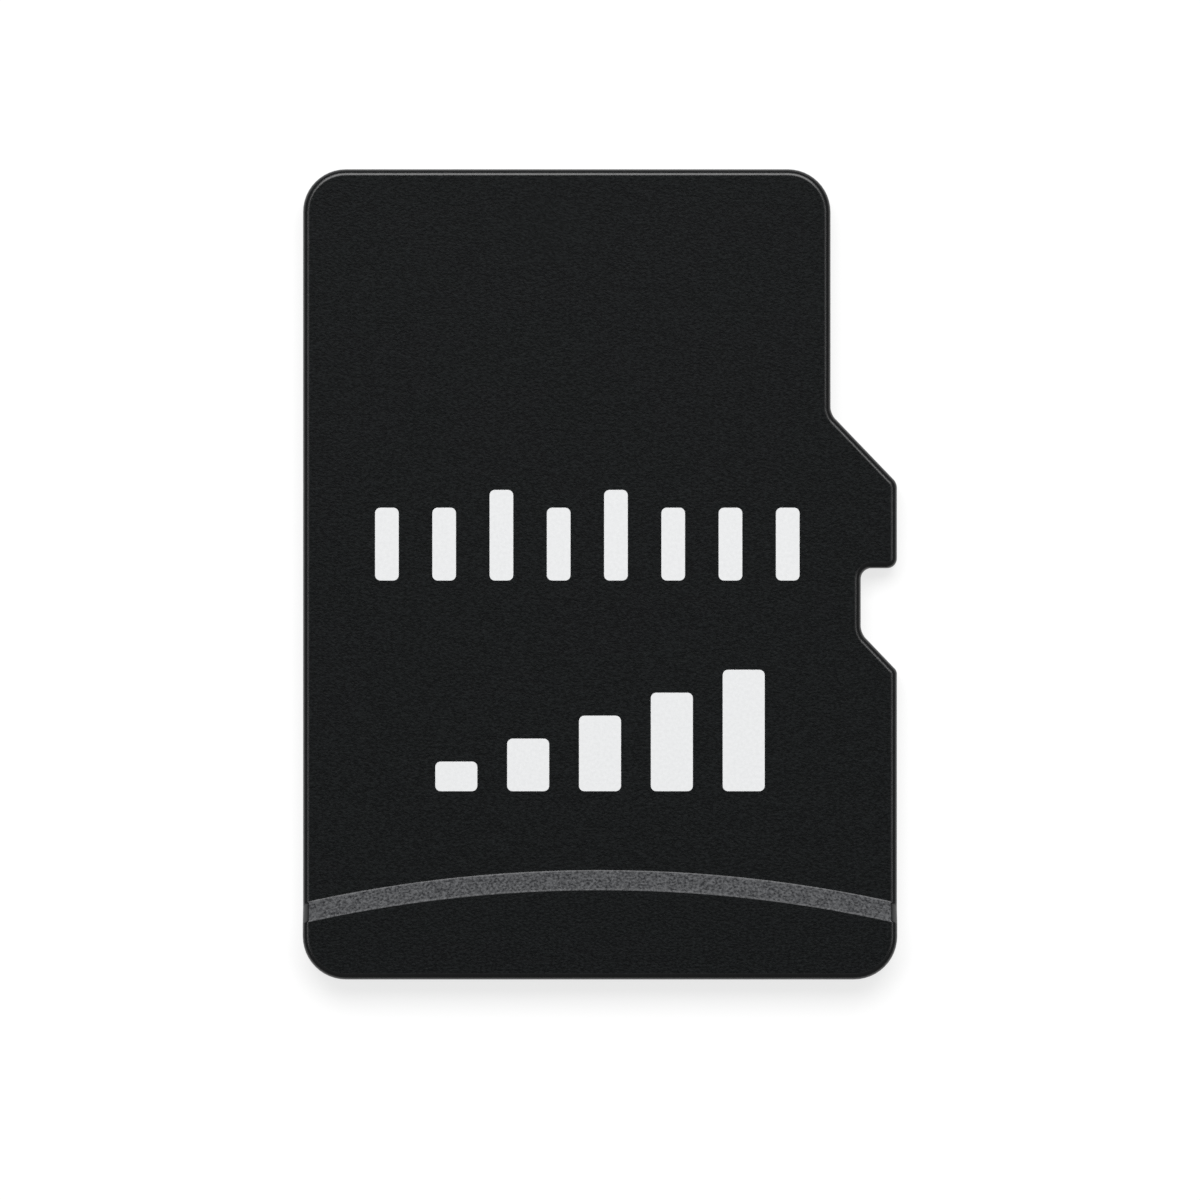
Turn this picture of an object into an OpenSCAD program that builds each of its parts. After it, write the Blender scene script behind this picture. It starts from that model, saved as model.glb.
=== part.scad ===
// Small flash memory card, lying on its back with the label side up.
// +Y points to the leading end with the contacts, +X to the latch notch, +Z out of the label.
// Millimetres. The origin is under the middle of the card, on the face that it lies on.

/* [Card outline] */
// Width across the widest part of the card
card_w = 11; // [10.5:0.1:13]
// Length from the rear edge to the leading edge
card_l = 15; // [14.6:0.1:17]
// Width of the narrow leading end
front_w = 9.77; // [9.2:0.01:9.9]
// Distance from the leading edge to the start of the sloping shoulder
shoulder_start = 4.53; // [4.2:0.01:4.8]
// Length of the sloping shoulder along the card
shoulder_l = 1.28; // [1.1:0.01:1.5]
// Distance from the leading edge to the latch notch
notch_start = 7.39; // [7:0.01:7.6]
// Length of the floor of the notch
notch_l = 1.2; // [1:0.01:1.5]
// Length of the ramp that leads out of the notch, along the card
notch_ramp_l = 0.7; // [0.5:0.01:1]
// Depth of the notch, measured from the side of the card
notch_depth = 0.67; // [0.5:0.01:0.8]
// Radius of the two leading corners
front_corner_r = 0.79; // [0.4:0.01:1.2]
// Radius of the two rear corners
rear_corner_r = 0.8; // [0.5:0.01:1.2]
// Radius where the straight side runs into the shoulder
shoulder_in_r = 0.31; // [0.1:0.01:0.6]
// Radius where the shoulder runs out to the full width
shoulder_out_r = 0.21; // [0.15:0.01:0.5]
// Radius of the lip at the front of the notch
notch_lip_r = 0.18; // [0.15:0.01:0.25]
// Radius in the front corner of the notch
notch_front_r = 0.2; // [0.1:0.01:0.3]
// Radius between the floor of the notch and its ramp
notch_rear_r = 0.33; // [0.1:0.01:0.6]
// Radius where the ramp of the notch meets the side of the card
notch_out_r = 0.13; // [0.13:0.01:0.4]

/* [Thickness] */
// Thickness of the whole card ahead of the finger lip
card_t = 0.7; // [0.66:0.01:0.9]
// Thickness of the card at the finger lip
lip_t = 1; // [0.92:0.01:1.2]
// Thickness of the laminate board
board_t = 0.18; // [0.12:0.01:0.2]
// Radius of the rounded edge around the label side
edge_r = 0.12; // [0.04:0.01:0.12]

/* [Finger lip] */
// Distance from the rear edge to the top of the ramp, on the centre line
lip_l = 1.67; // [1.3:0.01:2.2]
// Length of the ramp up to the lip
lip_ramp_l = 0.33; // [0.2:0.01:0.6]
// Radius of the arc that the lip follows in plan
lip_arc_r = 25; // [18:1:40]

/* [Contacts] */
// Number of contact pads
contact_count = 8; // [8:1:8]
// Spacing of the contact pads
contact_pitch = 1.1; // [1:0.01:1.15]
// Width of a contact pad
contact_w = 0.8; // [0.6:0.01:0.9]
// Distance from the leading edge to a signal contact
contact_start = 1.15; // [0.9:0.01:1.3]
// Distance from the leading edge to a supply contact
supply_contact_start = 0.52; // [0.4:0.01:0.8]
// Distance from the leading edge to the inner end of every contact
contact_end = 4.05; // [3.8:0.01:4.3]
// Radius of the corners of a contact
contact_corner_r = 0.12; // [0.05:0.01:0.25]
// Thickness of the plated copper of a contact
contact_t = 0.03; // [0.02:0.005:0.04]
// Depth of a contact below the back face
contact_recess = 0.02; // [0.01:0.005:0.04]
// Radius of a plated hole through the board
via_r = 0.08; // [0.05:0.01:0.1]
// Distance from the start of a signal contact to its plated hole
via_inset = 0.2; // [0.15:0.01:0.3]

/* [Flash memory] */
// Width of a flash memory die
flash_w = 8.4; // [7.5:0.1:8.6]
// Length of a flash memory die
flash_l = 8.6; // [7.5:0.1:8.7]
// Thickness of a flash memory die
flash_t = 0.08; // [0.05:0.01:0.1]
// Distance from the rear edge of the card to the lower die
flash_rear_gap = 0.85; // [0.8:0.01:1.2]
// Distance from the plain side of the card to both dies
flash_side_gap = 0.45; // [0.35:0.01:0.7]
// Distance by which the upper die is set back to bare the pads of the lower one
flash_setback = 0.35; // [0.3:0.01:0.45]
// Number of bonded lines between the flash memory and the controller
flash_lines = 16; // [8:1:16]
// Spacing of those lines
flash_line_pitch = 0.21; // [0.18:0.01:0.22]

/* [Controller] */
// Width of the controller die
controller_w = 3.4; // [3.2:0.1:4]
// Length of the controller die
controller_l = 1.7; // [1.2:0.1:1.8]
// Thickness of the controller die
controller_t = 0.1; // [0.06:0.01:0.12]
// Spacing of the bonded lines on the contact side of the controller
host_line_pitch = 0.42; // [0.36:0.01:0.44]

/* [Bonding] */
// Thickness of the adhesive film under each die
film_t = 0.02; // [0.01:0.005:0.03]
// Thickness of a bond wire
wire_t = 0.025; // [0.018:0.001:0.03]
// Height of a wire loop above its die
loop_rise = 0.06; // [0.04:0.01:0.08]
// Distance from a die's edge to its row of pads
pad_inset = 0.1; // [0.06:0.01:0.12]
// Distance between the two wires that end on a pad of the lower die
pad_spread = 0.08; // [0.06:0.01:0.1]
// Distance from a die's edge to its row of bond fingers
bond_reach = 0.4; // [0.3:0.01:0.42]
// Length of a bond finger
finger_l = 0.24; // [0.18:0.01:0.28]
// Width of a bond finger
finger_w = 0.11; // [0.08:0.01:0.13]
// Distance between the two facing rows of bond fingers
finger_row_gap = 0.4; // [0.36:0.01:0.5]
// Thickness of the copper on the inner face of the board
copper_t = 0.015; // [0.01:0.001:0.02]
// Width of a copper trace
trace_w = 0.06; // [0.04:0.01:0.07]
// Radius of the copper land around a plated hole
via_land_r = 0.14; // [0.12:0.01:0.18]

/* [Chip components] */
// Length of a ceramic capacitor
capacitor_l = 1; // [0.8:0.05:1.1]
// Width of a ceramic capacitor
capacitor_w = 0.5; // [0.4:0.05:0.6]
// Height of a ceramic capacitor
capacitor_h = 0.3; // [0.2:0.01:0.33]
// Number of capacitors beside the flash memory
capacitor_count = 3; // [1:1:3]
// Spacing of those capacitors along the card
capacitor_pitch = 1.5; // [1.45:0.01:1.6]
// Distance from the flash memory to the capacitors
capacitor_gap = 0.5; // [0.3:0.01:0.7]
// Length of a chip resistor
resistor_l = 0.6; // [0.5:0.05:0.7]
// Width of a chip resistor
resistor_w = 0.3; // [0.2:0.05:0.35]
// Height of a chip resistor
resistor_h = 0.23; // [0.15:0.01:0.3]
// Number of chip resistors beside the controller
resistor_count = 4; // [1:1:4]
// Spacing of the chip resistors across the card
resistor_pitch = 0.6; // [0.5:0.01:0.65]
// Distance from the controller to the first resistor
resistor_gap = 0.5; // [0.4:0.01:0.6]
// Length of a component's end terminal
terminal_l = 0.15; // [0.1:0.01:0.2]
// Wall of an end terminal
terminal_wall = 0.03; // [0.02:0.005:0.04]
// Length of the land that shows beyond a component
land_reach = 0.15; // [0.1:0.01:0.2]
// Thickness of the solder under a terminal
solder_t = 0.01; // [0.005:0.001:0.02]

/* [Printing] */
// Thickness of the printed ink on the label side
ink_t = 0.02; // [0.01:0.001:0.03]
// Number of bars in the printed row
row_bars = 8; // [8:1:8]
// Spacing of the bars in the printed row
row_pitch = 1.06; // [0.9:0.01:1.1]
// Width of a bar in the printed row
row_bar_w = 0.44; // [0.3:0.01:0.6]
// Height of a bar in the printed row
row_bar_l = 1.35; // [1:0.01:1.5]
// Extra height of the two bars that stand for the supply contacts
row_tall_extra = 0.33; // [0.2:0.01:0.6]
// Distance from the rear edge to the foot of the printed row
row_from_rear = 7.38; // [7:0.01:8]
// Distance of the middle of the printed row from the card's centre line, away from the notch
row_shift = 0.235; // [0:0.005:0.4]
// Number of bars in the printed gauge
gauge_bars = 5; // [3:1:5]
// Spacing of the bars in the gauge
gauge_pitch = 1.33; // [1.1:0.01:1.5]
// Width of a bar in the gauge
gauge_bar_w = 0.78; // [0.5:0.01:0.9]
// Height of the lowest bar in the gauge
gauge_low_l = 0.55; // [0.4:0.01:0.8]
// Height of the tallest bar in the gauge
gauge_high_l = 2.25; // [1.8:0.01:2.6]
// Distance from the rear edge to the foot of the gauge
gauge_from_rear = 3.48; // [3.2:0.01:3.8]
// Radius of the corners of the printed bars
print_corner_r = 0.1; // [0.02:0.01:0.14]

/* [Hidden] */
// Turn of one straight step of a rounded corner, in degrees
arc_step = 9;
// Straight steps of the rounded edge of the label side
edge_steps = 5;
// Sides of the long arc of the lip
lip_arc_sides = 720;
// Numbers of the two supply contacts, counted from the notch side
supply_contacts = [4, 6];

left = -card_w / 2;
right = card_w / 2;
front = card_l / 2;
rear = -card_l / 2;
front_right = left + front_w;
shoulder_front = front - shoulder_start;
notch_front = front - notch_start;
notch_rear = notch_front - notch_l;
notch_end = notch_rear - notch_ramp_l;
notch_floor = right - notch_depth;

// The card's corners, anticlockwise from the rear corner on the plain side: x, y and radius
card_corners = [
    [left, rear, rear_corner_r],
    [right, rear, rear_corner_r],
    [right, notch_end, notch_out_r],
    [notch_floor, notch_rear, notch_rear_r],
    [notch_floor, notch_front, notch_front_r],
    [right, notch_front, notch_lip_r],
    [right, shoulder_front - shoulder_l, shoulder_out_r],
    [front_right, shoulder_front, shoulder_in_r],
    [front_right, front, front_corner_r],
    [left, front, front_corner_r]
];

contact_mid_x = (left + front_right) / 2;
via_y = front - contact_start - via_inset;
lip_top_y = rear + lip_l;

// From the rear edge forwards: flash memory, two rows of bond fingers, controller, fingers
flash_x = left + flash_side_gap;
flash_rear = rear + flash_rear_gap;
flash_front = flash_rear + flash_l;
flash_finger_y = flash_front + bond_reach;
controller_finger_y = flash_finger_y + finger_row_gap;
controller_rear = controller_finger_y + bond_reach;
controller_front = controller_rear + controller_l;
host_finger_y = controller_front + bond_reach;
capacitor_x = flash_x + flash_w + capacitor_gap + capacitor_w / 2;

// Heights in the stack of dies
lower_flash_z = board_t + film_t;
upper_film_z = lower_flash_z + flash_t;
upper_flash_z = upper_film_z + film_t;
controller_x = contact_mid_x - controller_w / 2;
controller_z = board_t + film_t;
finger_top = board_t + copper_t;
component_z = finger_top + solder_t;

// Rounded outlines: each corner is x, y and radius, in anticlockwise order

function unit(v) = v / norm(v);
function flat(p) = [p.x, p.y];
function left_of(u) = [-u.y, u.x];
function turned(p, a) = [p.x * cos(a) - p.y * sin(a), p.x * sin(a) + p.y * cos(a)];

// The arc of one corner, moved inwards by inset with the same number of points
function corner_arc(before, corner, after, inset) =
    let (
        u = unit(flat(corner) - flat(before)),
        v = unit(flat(after) - flat(corner)),
        turn = atan2(cross(u, v), u * v),
        side = sign(turn),
        r = corner.z,
        start = flat(corner) - u * r * tan(abs(turn) / 2),
        centre = start + side * r * left_of(u),
        steps = ceil(abs(turn) / arc_step)
    )
    [for (k = [0:steps])
        centre + (r - side * inset) * turned(-side * left_of(u), turn * k / steps)];

function rounded(corners, inset = 0) =
    let (n = len(corners))
    [for (i = [0:n - 1])
        each corner_arc(corners[(i + n - 1) % n], corners[i], corners[(i + 1) % n], inset)];

function rectangle_corners(x, y, w, l, r) =
    [[x, y, r], [x + w, y, r], [x + w, y + l, r], [x, y + l, r]];

module plate(x, y, z, w, l, t) {
    translate([x, y, z]) cube([w, l, t]);
}

module rounded_plate(x, y, z, w, l, t, r) {
    translate([0, 0, z]) linear_extrude(t) polygon(rounded(rectangle_corners(x, y, w, l, r)));
}

// Moulded body

// The moulding's shape up to one height, with its rounded top edge
module moulding(height) {
    profile = concat(
        [[0, board_t]],
        [for (k = [0:edge_steps])
            let (a = 90 * k / edge_steps)
            [edge_r * (1 - cos(a)), height - edge_r + edge_r * sin(a)]]
    );
    count = len(rounded(card_corners));
    last = count * (len(profile) - 1);
    points = [for (p = profile) for (q = rounded(card_corners, p[0])) [q.x, q.y, p[1]]];
    // Both flat ends start at the outline's last point, from which the rest of it is in sight
    base = concat([count - 1], [for (i = [0:count - 2]) i]);
    top = [for (i = [count - 1:-1:0]) last + i];
    walls = [for (j = [0:len(profile) - 2]) for (i = [0:count - 1])
        let (a = j * count + i, b = j * count + (i + 1) % count)
        [a, a + count, b + count, b]];
    polyhedron(points, concat([base], walls, [top]));
}

// Everything behind the arc of the lip, under its ramp, reaching past both faces that it cuts
module lip_cone(grown) {
    slope = lip_ramp_l / (lip_t - card_t);
    below = lip_t - card_t / 2;
    above = edge_r;
    translate([0, lip_top_y - lip_arc_r, lip_t - below])
        cylinder(h = below + above, r1 = lip_arc_r + grown + slope * below,
            r2 = lip_arc_r + grown - slope * above, $fn = lip_arc_sides);
}

module body_form() {
    moulding(card_t);
    intersection() {
        moulding(lip_t);
        lip_cone(0);
    }
}

module moulded_body() {
    color("#1d1e1f") difference() {
        body_form();
        copper_traces();
        flash_bond_fingers();
        controller_bond_fingers();
        flash_film_lower();
        flash_die_lower();
        flash_film_upper();
        flash_die_upper();
        controller_film();
        controller_die();
        flash_board_wires();
        flash_stack_wires();
        controller_wires();
        at_capacitors() chip_cavity(capacitor_l, capacitor_w, capacitor_h);
        at_resistors() chip_cavity(resistor_l, resistor_w, resistor_h);
    }
}

// Board and contacts

// Place of the i-th of a row of evenly spaced things, counted from the notch side
function spread(i, count, pitch) = ((count + 1) / 2 - i) * pitch;
function contact_x(i) = contact_mid_x + spread(i, contact_count, contact_pitch);
function is_supply(i) = len(search(i, supply_contacts)) > 0;
function contact_front(i) = front - (is_supply(i) ? supply_contact_start : contact_start);

module contact_shape(i, z, t) {
    y = front - contact_end;
    rounded_plate(contact_x(i) - contact_w / 2, y, z, contact_w, contact_front(i) - y, t,
        contact_corner_r);
}

module contact_pad(i) {
    color("#d8b25a") contact_shape(i, contact_recess, contact_t);
}

module contact_vias() {
    base = contact_recess + contact_t;
    color("#b87333") for (i = [1:contact_count])
        translate([contact_x(i), via_y, base]) cylinder(h = board_t - base, r = via_r, $fn = 8);
}

module laminate_board() {
    color("#161a18") difference() {
        linear_extrude(board_t) polygon(rounded(card_corners));
        for (i = [1:contact_count]) contact_shape(i, 0, contact_recess + contact_t);
        contact_vias();
    }
}

// Copper on the inner face of the board

function flash_line_x(i) = contact_mid_x + spread(i, flash_lines, flash_line_pitch);
function host_line_x(i) = contact_mid_x + spread(i, contact_count, host_line_pitch);

module finger(x, y) {
    plate(x - finger_w / 2, y - finger_l / 2, board_t, finger_w, finger_l, copper_t);
}

module flash_bond_fingers() {
    color("#d8b25a") for (i = [1:flash_lines]) finger(flash_line_x(i), flash_finger_y);
}

module controller_bond_fingers() {
    color("#d8b25a") {
        for (i = [1:flash_lines]) finger(flash_line_x(i), controller_finger_y);
        for (i = [1:contact_count]) finger(host_line_x(i), host_finger_y);
    }
}

// A straight stretch of trace between two points in plan, with a blunt end at each
module trace(a, b) {
    side = left_of(unit(b - a)) * trace_w / 2;
    polygon([a - side, b - side, b + side, a + side]);
    translate(b) circle(r = trace_w / 2, $fn = 8);
}

module copper_traces() {
    bus_l = finger_row_gap - finger_l;
    color("#b87333") translate([0, 0, board_t]) linear_extrude(copper_t) {
        for (i = [1:flash_lines])
            translate([flash_line_x(i) - trace_w / 2, flash_finger_y + finger_l / 2])
                square([trace_w, bus_l]);
        for (i = [1:contact_count]) {
            leave = [host_line_x(i), host_finger_y + finger_l / 2];
            bend = leave + [0, trace_w];
            hole = [contact_x(i), via_y];
            trace(leave, bend);
            trace(bend, hole);
            translate(hole) circle(r = via_land_r, $fn = 8);
        }
    }
}

// Stacked flash memory

module flash_sheet(z, t, setback) {
    plate(flash_x, flash_rear - setback, z, flash_w, flash_l, t);
}

module flash_film_lower() {
    color("#c9b68c") flash_sheet(board_t, film_t, 0);
}

module flash_die_lower() {
    color("#6f7580") flash_sheet(lower_flash_z, flash_t, 0);
}

module flash_film_upper() {
    color("#c9b68c") flash_sheet(upper_film_z, film_t, flash_setback);
}

module flash_die_upper() {
    color("#6f7580") flash_sheet(upper_flash_z, flash_t, flash_setback);
}

// Controller

module controller_film() {
    color("#c9b68c")
        plate(controller_x, controller_rear, board_t, controller_w, controller_l, film_t);
}

module controller_die() {
    color("#6f7580")
        plate(controller_x, controller_rear, controller_z, controller_w, controller_l, controller_t);
}

// Bond wires

// One wire, rising from a die at from_y and coming down at to_y. Its flat top is as long as
// the loop is high.
module wire_loop(x, from_y, from_z, to_y, to_z) {
    way = sign(to_y - from_y);
    half = way * wire_t / 2;
    top = from_z + loop_rise;
    knee = from_y + way * loop_rise;
    translate([x - wire_t / 2, 0, 0]) rotate([90, 0, 90]) linear_extrude(wire_t) polygon([
        [from_y - half, from_z],
        [from_y - half, top],
        [knee, top],
        [to_y + half, to_z],
        [to_y - half, to_z],
        [knee - half, top - wire_t],
        [from_y + half, top - wire_t],
        [from_y + half, from_z]
    ]);
}

module flash_board_wires() {
    color("#e2c06a") for (i = [1:flash_lines])
        wire_loop(flash_line_x(i), flash_front - pad_inset, upper_film_z,
            flash_finger_y, finger_top);
}

module flash_stack_wires() {
    upper_pad_y = flash_front - flash_setback - pad_inset;
    lower_pad_y = flash_front - pad_inset - pad_spread;
    color("#e2c06a") for (i = [1:flash_lines])
        wire_loop(flash_line_x(i), upper_pad_y, upper_flash_z + flash_t,
            lower_pad_y, upper_film_z);
}

module controller_wires() {
    top = controller_z + controller_t;
    color("#e2c06a") {
        for (i = [1:flash_lines])
            wire_loop(flash_line_x(i), controller_rear + pad_inset, top,
                controller_finger_y, finger_top);
        for (i = [1:contact_count])
            wire_loop(host_line_x(i), controller_front - pad_inset, top,
                host_finger_y, finger_top);
    }
}

// Chip components, each drawn with its length along Y and its middle at the origin

module at_capacitors() {
    y = notch_end - capacitor_pitch / 2;
    for (k = [0:capacitor_count - 1])
        translate([capacitor_x, y - k * capacitor_pitch, 0]) children();
}

module at_resistors() {
    x = controller_x + controller_w + resistor_gap + resistor_w / 2;
    y = (controller_rear + controller_front) / 2;
    for (k = [0:resistor_count - 1]) translate([x + k * resistor_pitch, y, 0]) children();
}

module chip_block(l, w, h) {
    plate(terminal_wall - w / 2, terminal_wall - l / 2, component_z + terminal_wall,
        w - 2 * terminal_wall, l - 2 * terminal_wall, h - 2 * terminal_wall);
}

module chip_terminals(l, w, h) {
    difference() {
        for (end = [0, 1]) mirror([0, end, 0])
            plate(-w / 2, l / 2 - terminal_l, component_z, w, terminal_l, h);
        chip_block(l, w, h);
    }
}

module chip_lands(l, w) {
    for (end = [0, 1]) mirror([0, end, 0])
        plate(-w / 2, l / 2 - terminal_l, board_t, w, terminal_l + land_reach, copper_t);
}

// An outline in Y and Z, drawn at one end of a component and mirrored to the other
module at_both_ends(w) {
    for (end = [0, 1]) mirror([0, end, 0])
        translate([-w / 2, 0, 0]) rotate([90, 0, 90]) linear_extrude(w) children();
}

// The solder under each terminal and its fillet up the end
module chip_solder(l, w, h) {
    at_both_ends(w) polygon([
        [l / 2 - terminal_l, finger_top],
        [l / 2 + land_reach, finger_top],
        [l / 2, component_z + h / 2],
        [l / 2, component_z],
        [l / 2 - terminal_l, component_z]
    ]);
}

// The room in the moulding for one component with its lands and solder
module chip_cavity(l, w, h) {
    at_both_ends(w) polygon([
        [l / 2 - terminal_l, board_t],
        [l / 2 + land_reach, board_t],
        [l / 2 + land_reach, finger_top],
        [l / 2, component_z + h / 2],
        [l / 2, component_z + h],
        [l / 2 - terminal_l, component_z + h]
    ]);
    chip_block(l, w, h);
}

module component_lands() {
    color("#b87333") {
        at_capacitors() chip_lands(capacitor_l, capacitor_w);
        at_resistors() chip_lands(resistor_l, resistor_w);
    }
}

module solder_joints() {
    color("#b9bcc0") {
        at_capacitors() chip_solder(capacitor_l, capacitor_w, capacitor_h);
        at_resistors() chip_solder(resistor_l, resistor_w, resistor_h);
    }
}

module capacitor_blocks() {
    color("#a58a64") at_capacitors() chip_block(capacitor_l, capacitor_w, capacitor_h);
}

module capacitor_terminals() {
    color("#c9ccd0") at_capacitors() chip_terminals(capacitor_l, capacitor_w, capacitor_h);
}

module resistor_blocks() {
    color("#2a2c30") at_resistors() chip_block(resistor_l, resistor_w, resistor_h);
}

module resistor_terminals() {
    color("#c9ccd0") at_resistors() chip_terminals(resistor_l, resistor_w, resistor_h);
}

// Printing on the label side

// A skin of ink on the ramp, ending where the rounded sides begin
module lip_stripe_print() {
    color("#545558") difference() {
        intersection() {
            lip_cone(ink_t);
            translate([0, 0, card_t]) linear_extrude(lip_t - card_t)
                polygon(rounded(card_corners, edge_r));
        }
        lip_cone(0);
    }
}

module printed_bar(x, y, w, l) {
    rounded_plate(x - w / 2, y, card_t, w, l, ink_t, print_corner_r);
}

module contact_row_print() {
    y = rear + row_from_rear;
    color("#ecedef") for (i = [1:row_bars])
        printed_bar(spread(i, row_bars, row_pitch) - row_shift, y, row_bar_w,
            row_bar_l + (is_supply(i) ? row_tall_extra : 0));
}

module level_gauge_print() {
    y = rear + gauge_from_rear;
    step = (gauge_high_l - gauge_low_l) / (gauge_bars - 1);
    color("#ecedef") for (i = [1:gauge_bars])
        printed_bar(spread(i, gauge_bars, gauge_pitch), y, gauge_bar_w,
            gauge_high_l - (i - 1) * step);
}

moulded_body();
laminate_board();
for (i = [1:contact_count])
    contact_pad(i);
contact_vias();
copper_traces();
flash_bond_fingers();
controller_bond_fingers();
flash_film_lower();
flash_die_lower();
flash_film_upper();
flash_die_upper();
controller_film();
controller_die();
flash_board_wires();
flash_stack_wires();
controller_wires();
component_lands();
solder_joints();
capacitor_blocks();
capacitor_terminals();
resistor_blocks();
resistor_terminals();
lip_stripe_print();
contact_row_print();
level_gauge_print();
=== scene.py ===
# %% [markdown]
# # A small memory card, lying with its label side up
#
# The real card is a thin laminate board with a black plastic moulding cast over one side.
# The back of the board is the back of the card and carries eight gold contacts. The front is
# plain plastic with white printing and a raised lip for a fingernail.
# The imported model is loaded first. It fixes every size and place, so that the pieces made
# here can be set on it without any fitting.

import math

import bmesh
import bpy
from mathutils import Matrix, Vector


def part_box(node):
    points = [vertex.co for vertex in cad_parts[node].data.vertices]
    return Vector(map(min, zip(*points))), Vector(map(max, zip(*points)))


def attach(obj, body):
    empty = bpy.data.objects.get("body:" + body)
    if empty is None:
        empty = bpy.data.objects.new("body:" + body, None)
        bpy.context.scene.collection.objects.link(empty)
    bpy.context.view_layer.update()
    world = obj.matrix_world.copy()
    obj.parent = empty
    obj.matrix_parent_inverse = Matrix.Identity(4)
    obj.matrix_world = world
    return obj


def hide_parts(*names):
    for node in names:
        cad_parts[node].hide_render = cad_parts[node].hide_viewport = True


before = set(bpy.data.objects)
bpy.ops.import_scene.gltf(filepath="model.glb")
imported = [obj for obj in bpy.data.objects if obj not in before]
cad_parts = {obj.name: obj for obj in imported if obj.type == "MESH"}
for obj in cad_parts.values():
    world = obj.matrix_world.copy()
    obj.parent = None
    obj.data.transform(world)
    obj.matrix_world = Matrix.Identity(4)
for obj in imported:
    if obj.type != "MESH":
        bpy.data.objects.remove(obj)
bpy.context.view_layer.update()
print("CAD nodes:", len(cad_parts))

# %% [markdown]
# ## Working in millimetres
#
# The card is 15 mm long and its finest edges are a few hundredths of a millimetre. Blender's
# mesh tools weld points that lie about a micrometre apart, which is coarse next to that. So
# each piece is shaped at one unit to the millimetre, and shrunk to metres when it is done.

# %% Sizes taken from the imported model
MM = 0.001


def box_mm(node):
    """The lowest and highest corner of a CAD node, in millimetres."""
    return [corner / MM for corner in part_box(node)]


body_low, body_high = box_mm("moulded_body")
left, rear, board_top = body_low
right, front, lip_top = body_high
print("card, mm:", round(right - left, 3), "by", round(front - rear, 3), "by", round(lip_top, 3))

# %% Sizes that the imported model's boxes don't say, as in the part's source
FACE_Z = 0.7
EDGE_R = 0.12
FRONT_W = 9.77
SHOULDER_START, SHOULDER_L = 4.53, 1.28
NOTCH_START, NOTCH_L, NOTCH_RAMP_L, NOTCH_DEPTH = 7.39, 1.2, 0.7, 0.67
LIP_L, LIP_RAMP, LIP_ARC_R = 1.67, 0.33, 25.0

# %% Where they put the corners of the outline
FRONT_RIGHT = left + FRONT_W
SHOULDER_Y = (front - SHOULDER_START, front - SHOULDER_START - SHOULDER_L)
NOTCH_Y = (front - NOTCH_START, front - NOTCH_START - NOTCH_L,
    front - NOTCH_START - NOTCH_L - NOTCH_RAMP_L)
NOTCH_X = right - NOTCH_DEPTH
LIP_TOP_Y = rear + LIP_L

# Each corner, anticlockwise: x, y and the radius that rounds it
OUTLINE = [
    (left, rear, 0.8),
    (right, rear, 0.8),
    (right, NOTCH_Y[2], 0.13),
    (NOTCH_X, NOTCH_Y[1], 0.33),
    (NOTCH_X, NOTCH_Y[0], 0.20),
    (right, NOTCH_Y[0], 0.18),
    (right, SHOULDER_Y[1], 0.21),
    (FRONT_RIGHT, SHOULDER_Y[0], 0.31),
    (FRONT_RIGHT, front, 0.79),
    (left, front, 0.79),
]

# %% [markdown]
# ## Camera
#
# The photograph looks straight at the card's face, with the leading end at the top and no
# perspective to be seen. A long lens from a quarter of a metre gives that flat view. Its
# focal length follows from the width that the square picture covers. The card lies a little
# above the middle of the picture, so the camera stands that much nearer its rear.

# %% The camera
VIEW_WIDTH = 0.022278
VIEW_HEIGHT = 0.25
VIEW_MIDDLE_Y = -0.000479
SENSOR = 36.0

camera_data = bpy.data.cameras.new("camera")
camera_data.sensor_width = SENSOR
camera_data.lens = SENSOR * VIEW_HEIGHT / VIEW_WIDTH
camera_data.clip_start = 0.01
camera = bpy.data.objects.new("camera", camera_data)
camera.location = (0, VIEW_MIDDLE_Y, VIEW_HEIGHT)
bpy.context.scene.collection.objects.link(camera)
bpy.context.scene.camera = camera
print("focal length, mm:", round(camera_data.lens, 1))

# %% [markdown]
# ## Small helpers for the modelling
#
# Every operator works on what is selected, so a piece is first made the only selected one.
# Faces and edges are then picked in code, by where they lie and which way they face.

# %% Selecting
def only(piece):
    """Make one object the active and only selected one."""
    bpy.ops.object.select_all(action="DESELECT")
    piece.select_set(True)
    bpy.context.view_layer.objects.active = piece


def edit(piece):
    only(piece)
    bpy.ops.object.mode_set(mode="EDIT")


def leave():
    bpy.ops.object.mode_set(mode="OBJECT")


def pick(piece, kind, test):
    """In edit mode, select the vertices, edges or faces that pass a test."""
    bpy.ops.mesh.select_mode(type=kind)
    bpy.ops.mesh.select_all(action="DESELECT")
    mesh = bmesh.from_edit_mesh(piece.data)
    mesh.normal_update()
    items = {"VERT": mesh.verts, "EDGE": mesh.edges, "FACE": mesh.faces}[kind]
    chosen = [item for item in items if test(item)]
    for item in chosen:
        item.select_set(True)
    bmesh.update_edit_mesh(piece.data)
    return len(chosen)


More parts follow.
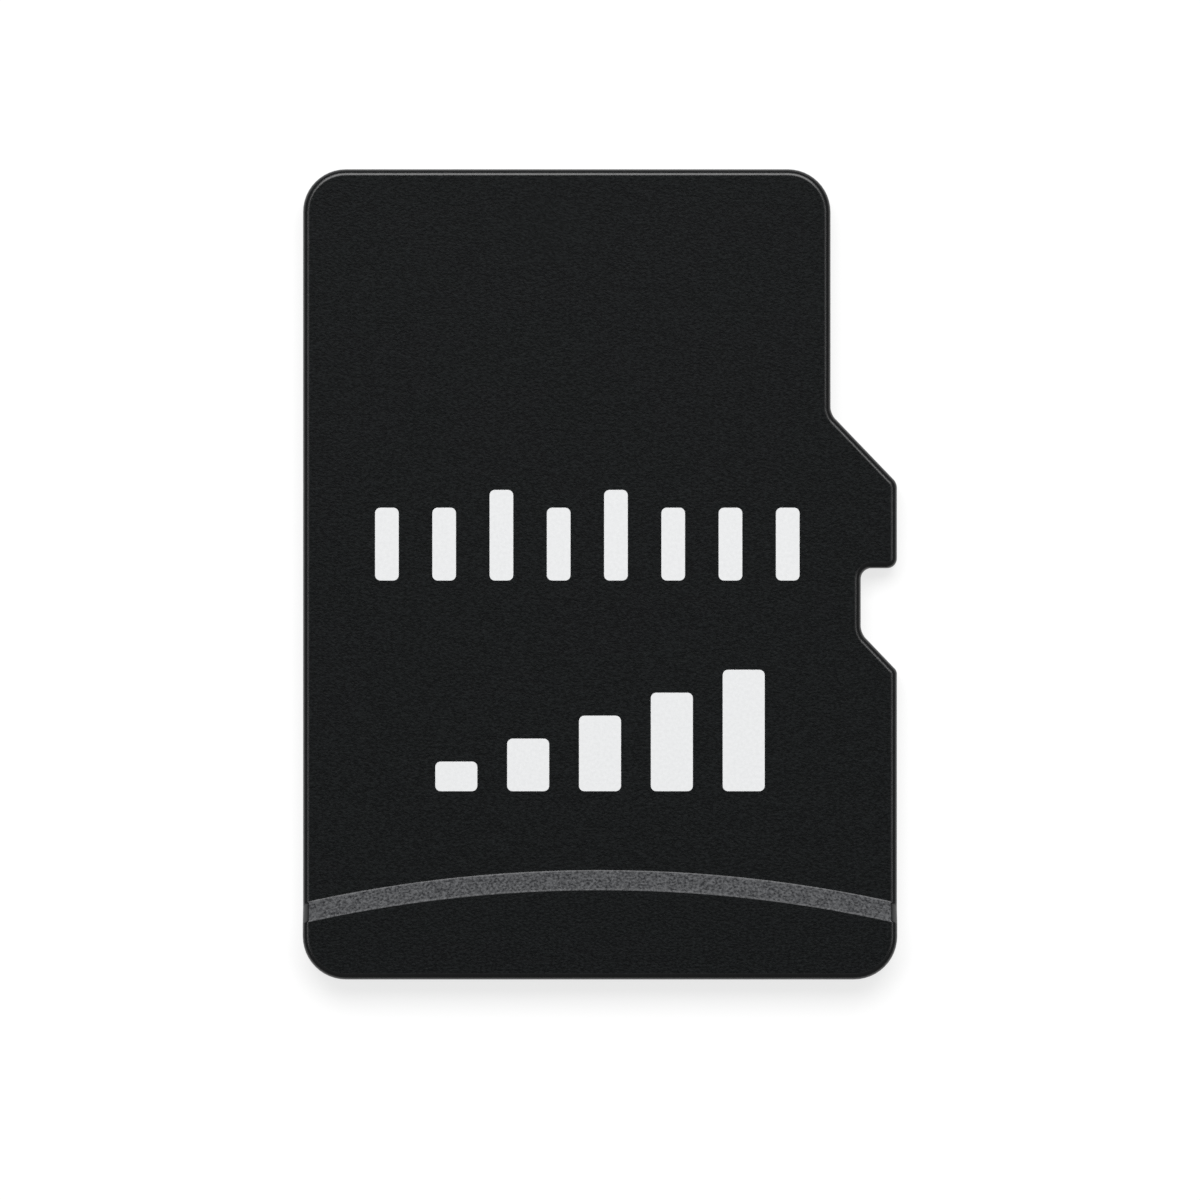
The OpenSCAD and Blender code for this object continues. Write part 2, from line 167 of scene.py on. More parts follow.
# %% Tracing an outline point by point and pulling it up into a block
def traced_block(name, points, low, high):
    """A plane is merged to one point, which is then extruded from corner to corner."""
    bpy.ops.object.select_all(action="DESELECT")
    bpy.ops.mesh.primitive_plane_add(size=1, location=(0, 0, 0))
    piece = bpy.context.object
    piece.name = piece.data.name = name
    edit(piece)
    bpy.ops.mesh.select_mode(type="VERT")
    bpy.ops.mesh.select_all(action="SELECT")
    bpy.ops.mesh.merge(type="CENTER")
    bpy.ops.transform.translate(value=(points[0][0], points[0][1], low))
    for a, b in zip(points, points[1:]):
        step = (b[0] - a[0], b[1] - a[1], 0)
        bpy.ops.mesh.extrude_vertices_move(TRANSFORM_OT_translate={"value": step})
    bpy.ops.mesh.select_all(action="SELECT")
    bpy.ops.mesh.edge_face_add()
    bpy.ops.mesh.extrude_region_move(TRANSFORM_OT_translate={"value": (0, 0, high - low)})
    bpy.ops.mesh.select_all(action="SELECT")
    bpy.ops.mesh.normals_make_consistent(inside=False)
    leave()
    return piece


# %% Rounding the upright edges, each to its own radius
NEAR = 1e-3


def round_uprights(piece, corners, steps):
    """Each edge is found at its corner. The bevel starts where the arc touches the sides."""
    edit(piece)
    count = len(corners)
    for i, (x, y, r) in enumerate(corners):
        before, after = corners[i - 1], corners[(i + 1) % count]
        turn = math.atan2(after[1] - y, after[0] - x) - math.atan2(y - before[1], x - before[0])
        turn = abs((turn + math.pi) % (2 * math.pi) - math.pi)
        pick(piece, "EDGE", lambda e: all(
            abs(v.co.x - x) < NEAR and abs(v.co.y - y) < NEAR for v in e.verts))
        bpy.ops.mesh.bevel(offset_type="OFFSET", offset=r * math.tan(turn / 2),
            segments=steps, profile=0.5, affect="EDGES", clamp_overlap=False)
    leave()


# %% Checking a mesh and handing a finished piece to the frame
def report(piece):
    """Print how many faces a piece has, whether it is closed, and its volume in mm3."""
    mesh = bmesh.new()
    mesh.from_mesh(piece.data)
    loose = sum(len(e.link_faces) != 2 for e in mesh.edges)
    volume = mesh.calc_volume()
    mesh.free()
    print(piece.name, "faces", len(piece.data.polygons), "open edges", loose,
        "volume", round(volume, 4))


SHARP_FROM = math.radians(40)
BY_AREA_ALONE = 100


def smooth(piece):
    """Shade the rounded parts smooth while the wide flat faces stay flat."""
    only(piece)
    bpy.ops.object.shade_smooth_by_angle(angle=SHARP_FROM)
    weight = piece.modifiers.new("weight", "WEIGHTED_NORMAL")
    weight.keep_sharp = True
    weight.weight = BY_AREA_ALONE
    bpy.ops.object.modifier_apply(modifier=weight.name)


def hand_over(piece, slot, *nodes):
    """Shrink a finished piece to metres, and let it stand for its CAD nodes."""
    report(piece)
    only(piece)
    piece.scale = (MM, MM, MM)
    bpy.ops.object.transform_apply(location=True, rotation=True, scale=True)
    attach(piece, "root")
    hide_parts(*nodes)


# %% [markdown]
# ## The moulding
#
# On the real card the dies are buried in black epoxy, which is pressed round them in a flat
# mould. The mould rounds the rim of the label side and leaves a lip across the rear.
# It could be drawn as a flat sheet with thickness, but the lip needs a face at another
# height. So a block of the lip's full height is traced, rounded at its upright edges, and
# the lower face is then carved out of it, which leaves the lip and its ramp in one piece.

# %% The moulding's block
CORNER_STEPS = 12

moulding = traced_block("moulding", OUTLINE, board_top, lip_top)
round_uprights(moulding, OUTLINE, CORNER_STEPS)
report(moulding)


# %% Carving with another solid
def carve(piece, tool):
    """Cut one solid out of another, and remove the cutter."""
    cut = piece.modifiers.new("carve", "BOOLEAN")
    cut.operation = "DIFFERENCE"
    cut.solver = "EXACT"
    cut.object = tool
    only(piece)
    bpy.ops.object.modifier_apply(modifier=cut.name)
    bpy.data.objects.remove(tool)


# %% The cutter: a slab with a cone taken out, which leaves the curved ramp
PAST = 0.3
CONE_SIDES = 360
SLAB = (16, 20, 1)

slope = LIP_RAMP / (lip_top - FACE_Z)
arc_centre_y = LIP_TOP_Y - LIP_ARC_R
cone_low, cone_high = FACE_Z - PAST, lip_top + PAST

bpy.ops.object.select_all(action="DESELECT")
bpy.ops.mesh.primitive_cone_add(vertices=CONE_SIDES, depth=cone_high - cone_low,
    radius1=LIP_ARC_R + slope * (lip_top - cone_low),
    radius2=LIP_ARC_R - slope * (cone_high - lip_top),
    location=(0, arc_centre_y, (cone_low + cone_high) / 2))
cone = bpy.context.object
bpy.ops.object.select_all(action="DESELECT")
bpy.ops.mesh.primitive_cube_add(size=1, location=(0, 0, FACE_Z + SLAB[2] / 2), scale=SLAB)
slab = bpy.context.object
carve(slab, cone)
carve(moulding, slab)
report(moulding)

# %% [markdown]
# ## Softening the moulding's edges
#
# No mould gives a knife edge. The crest and the foot of the ramp are rolled first, while
# they still run straight out to the sides. The whole rim follows in one bevel, so that its
# rounding climbs the ramp and goes round the lip without a break. That rounding is what
# draws the thin bright line just inside the card's edge.

# %% Rolling the crest and the foot of the ramp
CREST_ROLL, FOOT_ROLL, ROLL_STEPS = 0.015, 0.02, 3
LEVEL = 0.999
RAMP_MARGIN = 0.01
ramp_up = math.cos(math.atan2(lip_top - FACE_Z, LIP_RAMP))


def is_ramp(face):
    """The ramp slopes towards the leading end, and lies at the rear."""
    behind = face.calc_center_median().y < 0
    return behind and face.normal.y > 0.5 and abs(face.normal.z - ramp_up) < RAMP_MARGIN


def is_flat_top(face):
    return face.normal.z > LEVEL


def between(edge, one, other):
    """Whether an edge parts a face of one kind from a face of the other."""
    if len(edge.link_faces) != 2:
        return False
    a, b = edge.link_faces
    return (one(a) and other(b)) or (one(b) and other(a))


edit(moulding)
for level, roll in ((lip_top, CREST_ROLL), (FACE_Z, FOOT_ROLL)):
    found = pick(moulding, "EDGE", lambda e: between(e, is_ramp, is_flat_top)
        and abs(e.verts[0].co.z - level) < NEAR)
    bpy.ops.mesh.bevel(offset_type="OFFSET", offset=roll, segments=ROLL_STEPS, profile=0.5,
        affect="EDGES", clamp_overlap=False)
    print("arc edges rolled:", found)
leave()


# %% Rounding the rim
RIM_STEPS = 8
UPRIGHT = 0.05


def is_wall(face):
    return abs(face.normal.z) < UPRIGHT


def is_top(face):
    return face.normal.z > 0.5


edit(moulding)
found = pick(moulding, "EDGE", lambda e: between(e, is_wall, is_top))
bpy.ops.mesh.bevel(offset_type="OFFSET", offset=EDGE_R, segments=RIM_STEPS, profile=0.5,
    affect="EDGES", clamp_overlap=False)
leave()
print("rim edges rounded:", found)
report(moulding)

# %% [markdown]
# ## Where the rim folds over itself
#
# The roll on the crest is tighter than the rounding of the rim. So where the two meet, at
# both ends of the crest, the rings of the rim that lie nearest the wall cross over
# themselves. Left alone, they leave a dark sliver in the wall. The points of each such ring
# are merged to one, as one would do by hand.

# %% Closing the folds at both ends of the crest
FOLDED_RINGS = 4
FOLD_REACH = 0.07
crest_end_y = arc_centre_y + math.sqrt(LIP_ARC_R ** 2 - right ** 2)

edit(moulding)
merged = 0
for ring in range(FOLDED_RINGS):
    # Ring 0 is on the wall, and each next one a step further round the rim
    x = right - EDGE_R * (1 - math.cos(math.pi / 2 * ring / RIM_STEPS))
    for side in (-1, 1):
        merged += pick(moulding, "VERT", lambda v: abs(v.co.x - side * x) < NEAR / 2
            and abs(v.co.y - crest_end_y) < FOLD_REACH and v.co.z > FACE_Z)
        bpy.ops.mesh.merge(type="CENTER")
leave()
print("points merged:", merged)
report(moulding)

# %% [markdown]
# ## The grey band, a painted highlight
#
# A grey arc lies on the ramp of the lip, and ends where the rounded sides begin. It is a painted
# highlight: the light that the ramp catches from the main lamp, put into grey paint. The ramp's
# own faces are copied and lifted by the thickness of the paint, so the band follows the ramp
# exactly wherever it is seen from. On the crest the paint is wiped thin, level with the lip, so
# the card gets no thicker.

# %% Picking the ramp and its two rolled edges
BAND_T = 0.012
LEAN, STEEPEST = 0.05, 0.7
SIDEWAYS = 0.3


def looks_ahead(normal):
    """The ramp looks towards the leading end, and the rounded rim beside it to the sides."""
    return abs(normal.x) < SIDEWAYS * normal.y


def under_band(face):
    """The faces between the outer edges of both rolls, where the rounded rim hasn't begun."""
    middle, normal = face.calc_center_median(), face.normal
    from_arc = math.hypot(middle.x, middle.y - arc_centre_y) - LIP_ARC_R
    on_way = -CREST_ROLL < from_arc < LIP_RAMP + FOOT_ROLL and middle.y < 0
    leans = normal.y > LEAN and STEEPEST < normal.z < LEVEL
    return on_way and leans and looks_ahead(normal)


# %% Lifting the band from them
WELD = 1e-5

edit(moulding)
found = pick(moulding, "FACE", under_band)
bpy.ops.mesh.duplicate()
bpy.ops.mesh.separate(type="SELECTED")
leave()
band = next(o for o in bpy.context.selected_objects if o != moulding)
band.name = band.data.name = "grey_band"
edit(band)
bpy.ops.mesh.select_all(action="SELECT")
bpy.ops.mesh.remove_doubles(threshold=WELD)
bpy.ops.mesh.extrude_region_shrink_fatten(TRANSFORM_OT_shrink_fatten={"value": BAND_T})
bpy.ops.mesh.select_all(action="SELECT")
bpy.ops.mesh.normals_make_consistent(inside=False)
proud = pick(band, "VERT", lambda v: v.co.z > lip_top)
bpy.ops.transform.resize(value=(1, 1, 0), center_override=(0, 0, lip_top))
leave()
print("faces of the ramp:", found, "points brought down to the lip:", proud)
report(band)

# %% [markdown]
# ## The board
#
# The back of the card is a laminate board under black solder mask. It is cut with the
# moulding, so both have one outline. Each contact lies in a shallow well, where the mask and
# the glass cloth stop short of the gold. The wells are carved with blocks of the contacts'
# own outline.

# %% The board's block, with its lower edge eased
BOARD_EASE, EASE_STEPS = 0.015, 2


def ease_edges(piece, height, ease):
    """Round the edges that lie at one height."""
    edit(piece)
    pick(piece, "EDGE", lambda e: all(abs(v.co.z - height) < NEAR for v in e.verts))
    bpy.ops.mesh.bevel(offset_type="OFFSET", offset=ease, segments=EASE_STEPS, profile=0.5,
        affect="EDGES", clamp_overlap=False)
    leave()


board = traced_block("board", OUTLINE, 0, board_top)
round_uprights(board, OUTLINE, CORNER_STEPS)
ease_edges(board, 0, BOARD_EASE)
report(board)

# %% The wells for the contacts
PAD_CORNER = 0.12
WELL_STEPS = 6
WELL_FROM = -0.1
CONTACTS = ["contact_pad_%d" % i for i in range(1, 9)]


def rectangle(low, high, r):
    """The corners of a plate, anticlockwise, all with one radius."""
    return [(low.x, low.y, r), (high.x, low.y, r), (high.x, high.y, r), (low.x, high.y, r)]


for node in CONTACTS:
    low, high = box_mm(node)
    corners = rectangle(low, high, PAD_CORNER)
    well = traced_block("well", corners, WELL_FROM, high.z)
    round_uprights(well, corners, WELL_STEPS)
    carve(board, well)
report(board)

# %% [markdown]
# ## The contacts
#
# A real contact is copper plated with hard gold, flat, with its edge rounded by the plating.
# One is modelled at the size of a signal contact and copied. The two supply contacts reach
# further forward, so on their copies the leading end is moved out.

# %% The first contact
PAD_EASE = 0.008


def rounded_plate(name, low, high, r, ease, face_z):
    """A plate with rounded corners, whose face at one height has an eased edge."""
    corners = rectangle(low, high, r)
    piece = traced_block(name, corners, low.z, high.z)
    round_uprights(piece, corners, WELL_STEPS)
    ease_edges(piece, face_z, ease)
    return piece


pad_low, pad_high = box_mm("contact_pad_1")
first_contact = rounded_plate("gold_contact_1", pad_low, pad_high, PAD_CORNER, PAD_EASE,
    pad_low.z)
contacts = [first_contact]
report(first_contact)


# %% Copies of it
def copy_to(source, name, shift, end_y):
    """A copy with its own mesh, moved across the card, its forward end moved to end_y."""
    only(source)
    bpy.ops.object.duplicate(linked=False)
    made = bpy.context.object
    made.name = made.data.name = name
    edit(made)
    bpy.ops.mesh.select_all(action="SELECT")
    bpy.ops.transform.translate(value=shift)
    ys = [v.co.y for v in bmesh.from_edit_mesh(made.data).verts]
    middle, reach = (min(ys) + max(ys)) / 2, end_y - max(ys)
    pick(made, "VERT", lambda v: v.co.y > middle)
    bpy.ops.transform.translate(value=(0, reach, 0))
    leave()
    return made


for i, node in enumerate(CONTACTS[1:], 2):
    low, high = box_mm(node)
    contacts.append(copy_to(first_contact, "gold_contact_%d" % i,
        (low.x - pad_low.x, 0, 0), high.y))
print("contacts:", len(contacts))

# %% [markdown]
# ## The printing
#
# The real card carries white pad printing: a film of ink some hundredths of a millimetre
# thick with slightly soft edges. Its own marks aren't copied. In their place stand two
# generic ones: a row of eight bars that stand for the contacts, and a gauge of five steps.

# %% Bars of ink
INK_T = 0.02
INK_CORNER = 0.1
INK_EASE = 0.006


def printed_bars(name, bars):
    """Bars of ink, each x, foot, width and length, copied from the first and joined."""
    x, foot, wide, long = bars[0]
    low = Vector((x - wide / 2, foot, FACE_Z))
    high = Vector((x + wide / 2, foot + long, FACE_Z + INK_T))
    first = rounded_plate(name, low, high, INK_CORNER, INK_EASE, high.z)
    made = [first] + [
        copy_to(first, name, (bar[0] - x, 0, 0), bar[1] + bar[3]) for bar in bars[1:]]
    bpy.ops.object.select_all(action="DESELECT")
    for piece in made:
        piece.select_set(True)
    bpy.context.view_layer.objects.active = first
    bpy.ops.object.join()
    first.name = first.data.name = name
    return first


def spread(i, count, pitch):
    """Place of the i-th of a row, counted from the side with the notch."""
    return ((count + 1) / 2 - i) * pitch


# %% The upper row, whose two taller bars stand for the supply contacts
ROW_BARS, ROW_PITCH, ROW_SHIFT, ROW_FOOT = 8, 1.06, 0.235, 7.38
ROW_BAR_W, ROW_BAR_L, ROW_TALL_EXTRA = 0.44, 1.35, 0.33
SUPPLY = (4, 6)

row = printed_bars("white_row", [
    (spread(i, ROW_BARS, ROW_PITCH) - ROW_SHIFT, rear + ROW_FOOT, ROW_BAR_W,
        ROW_BAR_L + (ROW_TALL_EXTRA if i in SUPPLY else 0))
    for i in range(1, ROW_BARS + 1)])
report(row)

# %% The lower gauge
GAUGE_BARS, GAUGE_PITCH, GAUGE_FOOT = 5, 1.33, 3.48
GAUGE_BAR_W, GAUGE_HIGH_L, GAUGE_STEP = 0.78, 2.25, 0.425

gauge = printed_bars("white_gauge", [
    (spread(i, GAUGE_BARS, GAUGE_PITCH), rear + GAUGE_FOOT, GAUGE_BAR_W,
        GAUGE_HIGH_L - (i - 1) * GAUGE_STEP)
    for i in range(1, GAUGE_BARS + 1)])
report(gauge)

# %% [markdown]
# ## Building materials
#
# Each finish is one shader with a few patterns. Two helpers are enough for all of them: one
# turns an sRGB hex code to the linear colour that a shader works in, and one adds a node
# with its settings and links. Patterns are placed by Object coordinates, so a scale is one
# divided by a real size in metres.

# %% Colours and nodes
def colour(code):
    """An sRGB hex code as a linear colour."""
    parts = [int(code[i:i + 2], 16) / 255 for i in (1, 3, 5)]
    return (*(p / 12.92 if p <= 0.04045 else ((p + 0.055) / 1.055) ** 2.4
        for p in parts), 1.0)


def add(tree, kind, inputs={}, **settings):
    """Add one node. An input is a plain value, or the socket that is linked into it."""
    made = tree.nodes.new(kind)
    for key, value in settings.items():
        setattr(made, key, value)
    for key, value in inputs.items():
        if isinstance(value, bpy.types.NodeSocket):
            tree.links.new(value, made.inputs[key])
        else:
            made.inputs[key].default_value = value
    return made


# %% The start of every material
MIX_FACTOR, MIX_A, MIX_B, MIX_RESULT = 0, 6, 7, 2


def start_material(name, **constants):
    """A new material with its shader, and the coordinates that its patterns read."""
    material = bpy.data.materials.new(name)
    material.use_nodes = True
    tree = material.node_tree
    tree.nodes.clear()
    shader = add(tree, "ShaderNodeBsdfPrincipled",
        {key.replace("_", " "): value for key, value in constants.items()})
    add(tree, "ShaderNodeOutputMaterial", {"Surface": shader.outputs["BSDF"]})
    place = add(tree, "ShaderNodeTexCoord").outputs["Object"]
    return material, tree, shader, place


def grain(tree, place, size_mm, stretch=(1, 1, 1), detail=3.0, rough=0.6):
    """Noise whose grains are about size_mm wide, drawn out by stretch along each axis."""
    drawn = add(tree, "ShaderNodeMapping",
        {"Vector": place, "Scale": [1 / (size_mm * MM * s) for s in stretch]})
    noise = add(tree, "ShaderNodeTexNoise", {"Vector": drawn.outputs["Vector"],
        "Scale": 1.0, "Detail": detail, "Roughness": rough})
    return noise.outputs["Fac"]


def tint(tree, shader, factor, dark, light, low=0.35, high=0.65):
    """Colour that runs from dark to light as a pattern goes from low to high."""
    held = add(tree, "ShaderNodeMapRange",
        {"Value": factor, "From Min": low, "From Max": high})
    mixed = add(tree, "ShaderNodeMix", {MIX_FACTOR: held.outputs["Result"],
        MIX_A: colour(dark), MIX_B: colour(light)}, data_type="RGBA")
    tree.links.new(mixed.outputs[MIX_RESULT], shader.inputs["Base Color"])


def vary_roughness(tree, shader, factor, low, high):
    """Roughness that runs from low to high with a pattern."""
    held = add(tree, "ShaderNodeMapRange", {"Value": factor, "From Min": 0.3,
        "From Max": 0.7, "To Min": low, "To Max": high})
    tree.links.new(held.outputs["Result"], shader.inputs["Roughness"])


def raise_by(tree, shader, factor, depth_mm):
    """Relief whose full depth is depth_mm."""
    bump = add(tree, "ShaderNodeBump",
        {"Height": factor, "Distance": depth_mm * MM, "Strength": 1.0})
    tree.links.new(bump.outputs["Normal"], shader.inputs["Normal"])


# %% [markdown]
# ## Finishes of the body
#
# The moulding is epoxy filled with silica: nearly black and dull, with a fine grain that
# is a little longer across the card than along it. Its rim is the same plastic, a little
# polished by handling. The sides are cut through and look drier. The board's back is smooth
# black solder mask over a woven glass laminate, whose cloth shows faintly.
# The pits that the mould leaves are a few thousandths of a millimetre wide. They would
# vanish between the picture's pixels, so the grain is drawn as coarse as it needs to show.

# %% Moulded epoxy
GRAIN_MM, GRAIN_STRETCH = 0.042, (1.4, 1, 1)
# Lighter colour where the grain stands up: partly the grain's own tone, partly painted glints
GRAIN_AND_GLINT_FROM, GRAIN_AND_GLINT_TO = 0.42, 0.78


def moulded_epoxy(name, dark, light, rough, depth_mm, gloss=0.2):
    """Mostly dark, with lighter specks where the grain stands up: partly the grain's own tone,
    partly painted glints.
    """
    material, tree, shader, place = start_material(name, IOR=1.5, Specular_IOR_Level=gloss)
    pits = grain(tree, place, GRAIN_MM, GRAIN_STRETCH, 3.0, 0.7)
    tint(tree, shader, pits, dark, light, GRAIN_AND_GLINT_FROM, GRAIN_AND_GLINT_TO)
    vary_roughness(tree, shader, pits, *rough)
    raise_by(tree, shader, pits, depth_mm)
    return material


# The face scatters light, so it has little gloss of its own. Its light specks are partly painted
# glints
epoxy_face = moulded_epoxy("moulded epoxy, grained face", "#080a0b", "#1f2223",
    (0.35, 0.43), 0.009, 0.068)
# The rim is worn smooth, and draws the bright line round the card
epoxy_rim = moulded_epoxy("moulded epoxy, handled rim", "#0f1011", "#131415",
    (0.22, 0.28), 0.001, 0.46)
# The side is sawn, so it is the driest of the three
epoxy_side = moulded_epoxy("moulded epoxy, cut side", "#101112", "#18191a",
    (0.5, 0.65), 0.003)
print("finishes of the moulding:", epoxy_face.name, "|", epoxy_rim.name, "|", epoxy_side.name)


# %% Solder mask and the cut edge of the laminate
CLOTH_MM, LAYER_MM = 0.11, 0.03


def solder_mask():
    """A smooth black lacquer, with the glass threads under it just to be seen."""
    material, tree, shader, place = start_material("solder mask, black", IOR=1.52)
    cloth = grain(tree, place, CLOTH_MM, (1, 1, 1), 2.0)
    tint(tree, shader, cloth, "#0f1211", "#131615")
    vary_roughness(tree, shader, cloth, 0.26, 0.31)
    raise_by(tree, shader, cloth, 0.0007)
    return material


def laminate_edge():
    """Brown resin and glass in thin layers, left rough by the saw."""
    material, tree, shader, place = start_material("glass laminate, cut edge", IOR=1.5)
    layers = grain(tree, place, LAYER_MM, (6, 6, 1))
    tint(tree, shader, layers, "#1c1a15", "#2e2b22")
    vary_roughness(tree, shader, layers, 0.55, 0.75)
    raise_by(tree, shader, layers, 0.004)
    return material


mask = solder_mask()
cut_edge = laminate_edge()
print("finishes of the board:", mask.name, "|", cut_edge.name)


# %% [markdown]
# ## Metals, inks and what is buried in the card
#
# The white ink and the grey paint of the ramp's painted highlight are matt and a little uneven.
# The dies, films, wires and components can't be seen, but they get the finish of what they are,
# for whoever opens the model up.

# %% Metals
def metal(name, dark, light, rough, grain_mm, stretch=(1, 1, 1), depth_mm=0.0005):
    """A metal with fine marks, whose grain_mm is their width."""
    material, tree, shader, place = start_material(name, Metallic=1.0)
    marks = grain(tree, place, grain_mm, stretch)
    tint(tree, shader, marks, dark, light)
    vary_roughness(tree, shader, marks, *rough)
    raise_by(tree, shader, marks, depth_mm)
    return material


# Plated, then wiped lengthways by a socket's springs: a warm satin
hard_gold = metal("hard gold plating, wiped", "#deb66b", "#e5c079",
    (0.22, 0.28), 0.008, (1, 14, 1), 0.0001)
# Drawn to wire: brighter and softer in colour than plating
bond_gold = metal("bonding gold, drawn", "#e0bb6c", "#efd18f", (0.2, 0.3), 0.02)
# Etched copper: pink and matt
bare_copper = metal("copper, etched", "#b4693f", "#cf8a5f", (0.3, 0.5), 0.03)
# Solder that has melted and set: cool, bright and a little frosted
tin = metal("solder tin, reflowed", "#b3b6ba", "#cfd1d4", (0.25, 0.4), 0.05)
# Silicon ground thin: a blue-grey mirror with fine lines across
silicon = metal("silicon, ground back", "#5e646d", "#757b85", (0.25, 0.35), 0.02, (12, 1, 1))
for material in (hard_gold, bond_gold, bare_copper, tin, silicon):
    print("metal:", material.name)


# %% Inks, the grey paint of a painted highlight, ceramics and films
def dull(name, dark, light, rough, grain_mm, depth_mm=0.001):
    """A matt finish with an even mottle."""
    material, tree, shader, place = start_material(name, IOR=1.48)
    mottle = grain(tree, place, grain_mm)
    tint(tree, shader, mottle, dark, light)
    vary_roughness(tree, shader, mottle, *rough)
    raise_by(tree, shader, mottle, depth_mm)
    return material


# White ink covers well, so it is even
white_ink = dull("pad printing ink, white", "#ecedee", "#f3f4f5", (0.5, 0.65), 0.06)
# The grey is paint for a painted highlight, thin on a rough ramp, so black shows through it in
# specks
grey_ink = dull("grey paint, the ramp's painted highlight", "#222326", "#68696b", (0.42, 0.55), 0.05, 0.005)
# Cured glue film, like amber wax
die_film = dull("die attach film, amber", "#a9905f", "#bfa677", (0.4, 0.55), 0.1)
# Fired ceramic is chalky, and glazed ceramic shines
capacitor_ceramic = dull("fired ceramic, tan", "#937750", "#ab8f68", (0.45, 0.6), 0.04)
resistor_ceramic = dull("glazed ceramic, black", "#17181b", "#26282c", (0.2, 0.35), 0.05)
for material in (white_ink, grey_ink, die_film, capacitor_ceramic, resistor_ceramic):
    print("dull finish:", material.name)


# %% Finishes of the CAD nodes that stay
BURIED = {
    "contact_vias": bare_copper, "copper_traces": bare_copper, "component_lands": bare_copper,
    "flash_bond_fingers": bond_gold, "controller_bond_fingers": bond_gold,
    "flash_board_wires": bond_gold, "flash_stack_wires": bond_gold,
    "controller_wires": bond_gold,
    "flash_die_lower": silicon, "flash_die_upper": silicon, "controller_die": silicon,
    "flash_film_lower": die_film, "flash_film_upper": die_film, "controller_film": die_film,
    "solder_joints": tin, "capacitor_terminals": tin, "resistor_terminals": tin,
    "capacitor_blocks": capacitor_ceramic, "resistor_blocks": resistor_ceramic,
}
for name, material in BURIED.items():
    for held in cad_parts[name].material_slots:
        held.material = material
print("buried nodes finished:", len(BURIED))


# %% Finishes of the new pieces, by which way each face looks
def dress(piece, materials, choose):
    """Give a piece its materials, and each face the one whose number choose returns."""
    for material in materials:
        piece.data.materials.append(material)
    for face in piece.data.polygons:
        face.material_index = choose(face)


NEARLY_LEVEL = 0.997


def moulding_finish(face):
    """0 is the grained face, 1 the handled rim and 2 the cut side."""
    if is_wall(face):
        return 2
    on_ramp = face.center.y < 0 and looks_ahead(face.normal)
    return 1 if UPRIGHT < face.normal.z < NEARLY_LEVEL and not on_ramp else 0


dress(moulding, [epoxy_face, epoxy_rim, epoxy_side], moulding_finish)
dress(board, [mask, cut_edge], lambda face: 1 if is_wall(face) else 0)
for piece in contacts:
    dress(piece, [hard_gold], lambda face: 0)
# The grey band gets the grey paint of the ramp's painted highlight
dress(band, [grey_ink], lambda face: 0)
for piece in (row, gauge):
    dress(piece, [white_ink], lambda face: 0)

# %% Hand the finished pieces to the frame
for piece in (moulding, board, band, row, gauge, *contacts):
    smooth(piece)
hand_over(moulding, "moulding", "moulded_body")
hand_over(board, "board", "laminate_board")
# The grey band is the ramp's painted highlight
hand_over(band, "grey_ink", "lip_stripe_print")
hand_over(row, "white_ink", "contact_row_print")
hand_over(gauge, "white_ink", "level_gauge_print")
for piece, node in zip(contacts, CONTACTS):
    hand_over(piece, "contact_gold", node)

# %% [markdown]
# ## Floor and light
#
# The card lies on a white table. The camera sees the floor glow a little, so that it stays
# white while the card's short soft shadow still shows on it. The main light is a wide soft
# one beyond the leading end, high up, and two weaker ones stand at the sides.

# %% The floor
FLOOR_SIZE = 1.2
FLOOR_GLOW = 0.74

bpy.ops.object.select_all(action="DESELECT")
bpy.ops.mesh.primitive_plane_add(size=FLOOR_SIZE, location=(0, 0, 0))
floor = bpy.context.object
floor.name = "floor"

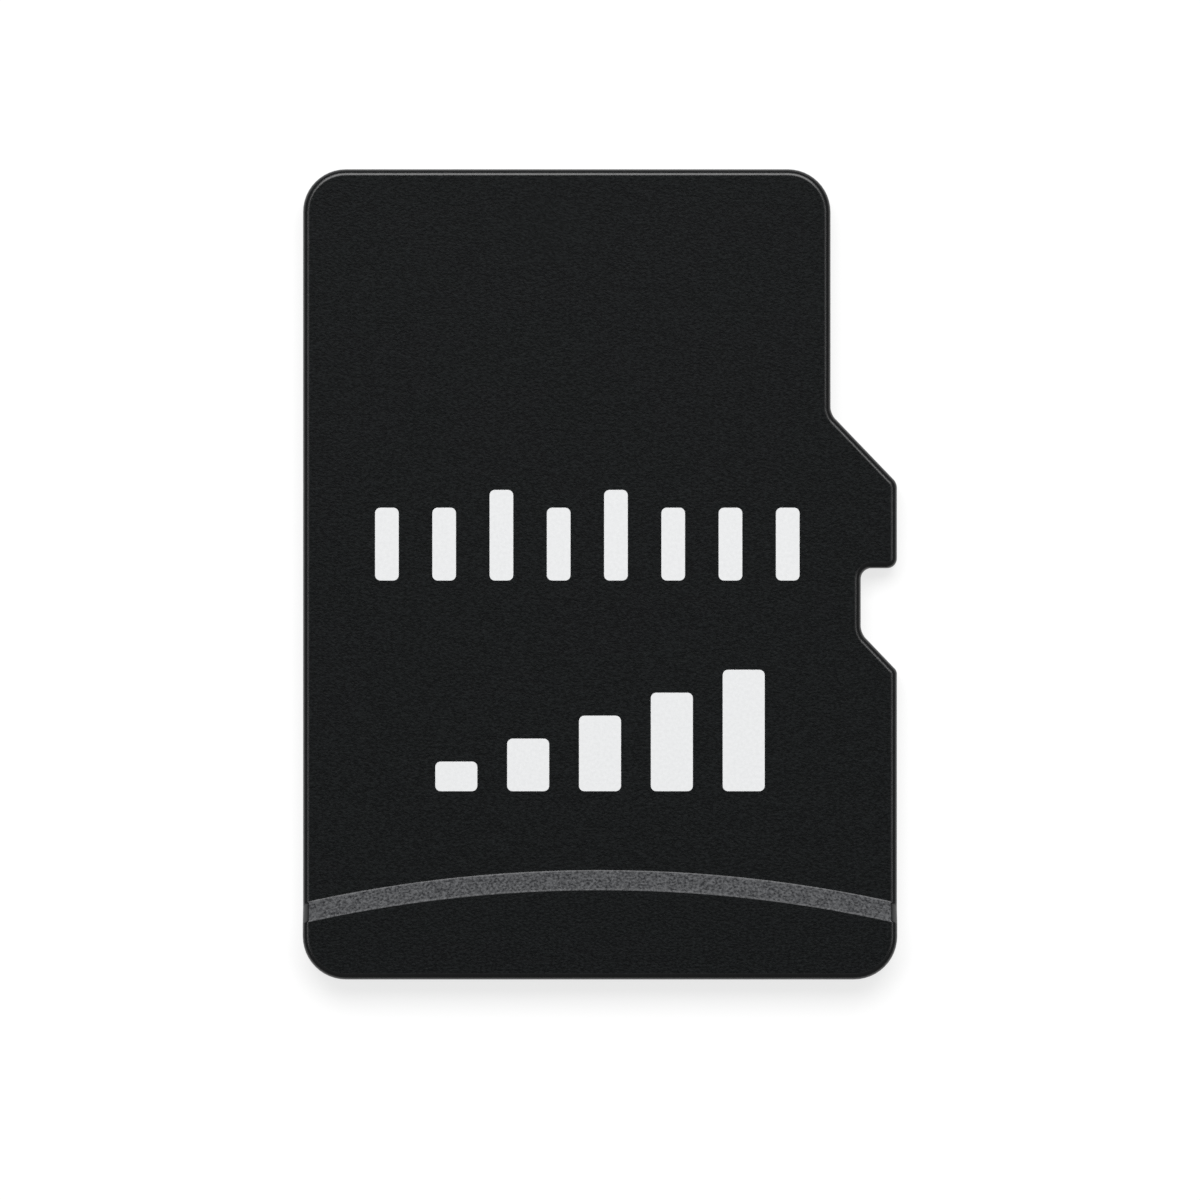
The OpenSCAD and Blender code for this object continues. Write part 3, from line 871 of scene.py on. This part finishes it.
# %% Its finish, which glows where the camera or a reflection sees it
floor_material = bpy.data.materials.new("white table")
floor_material.use_nodes = True
tree = floor_material.node_tree
tree.nodes.clear()
path = add(tree, "ShaderNodeLightPath").outputs
seen = add(tree, "ShaderNodeMath", {0: path["Is Camera Ray"], 1: path["Is Glossy Ray"]},
    operation="ADD")
seen = add(tree, "ShaderNodeMath", {0: seen.outputs[0], 1: path["Is Transmission Ray"]},
    operation="ADD", use_clamp=True)
glow = add(tree, "ShaderNodeMath", {0: seen.outputs[0], 1: FLOOR_GLOW}, operation="MULTIPLY")
light_out = add(tree, "ShaderNodeEmission",
    {"Color": (1, 1, 1, 1), "Strength": glow.outputs[0]})
matt = add(tree, "ShaderNodeBsdfDiffuse", {"Color": colour("#9c9c9c")})
both = add(tree, "ShaderNodeAddShader", {0: light_out.outputs[0], 1: matt.outputs[0]})
add(tree, "ShaderNodeOutputMaterial", {"Surface": both.outputs[0]})
floor.data.materials.append(floor_material)
print("floor, m:", FLOOR_SIZE, "glow:", FLOOR_GLOW)


# %% The lamps
LAMP_ELEVATION, LAMP_DISTANCE = 62, 0.32


def soft_lamp(name, azimuth, wide, tall, power):
    """An area lamp that looks at the card. Azimuth 0 stands beyond the leading end."""
    data = bpy.data.lights.new(name, "AREA")
    data.shape = "RECTANGLE"
    data.size, data.size_y, data.energy = wide, tall, power
    lamp = bpy.data.objects.new(name, data)
    a, e = math.radians(azimuth), math.radians(LAMP_ELEVATION)
    lamp.location = [LAMP_DISTANCE * k for k in
        (math.sin(a) * math.cos(e), math.cos(a) * math.cos(e), math.sin(e))]
    lamp.rotation_euler = (-lamp.location).to_track_quat("-Z", "Y").to_euler()
    bpy.context.scene.collection.objects.link(lamp)
    print(name, "watts:", power)


soft_lamp("main lamp", 0, 0.26, 0.17, 0.9)
soft_lamp("left lamp", -90, 0.10, 0.06, 0.05)
soft_lamp("right lamp", 90, 0.10, 0.06, 0.05)

# %% The surroundings
SKY = 0.18

world = bpy.data.worlds.new("studio")
world.use_nodes = True
background = world.node_tree.nodes["Background"]
background.inputs["Color"].default_value = (1, 1, 1, 1)
background.inputs["Strength"].default_value = SKY
bpy.context.scene.world = world
bpy.context.scene.view_settings.view_transform = "Standard"
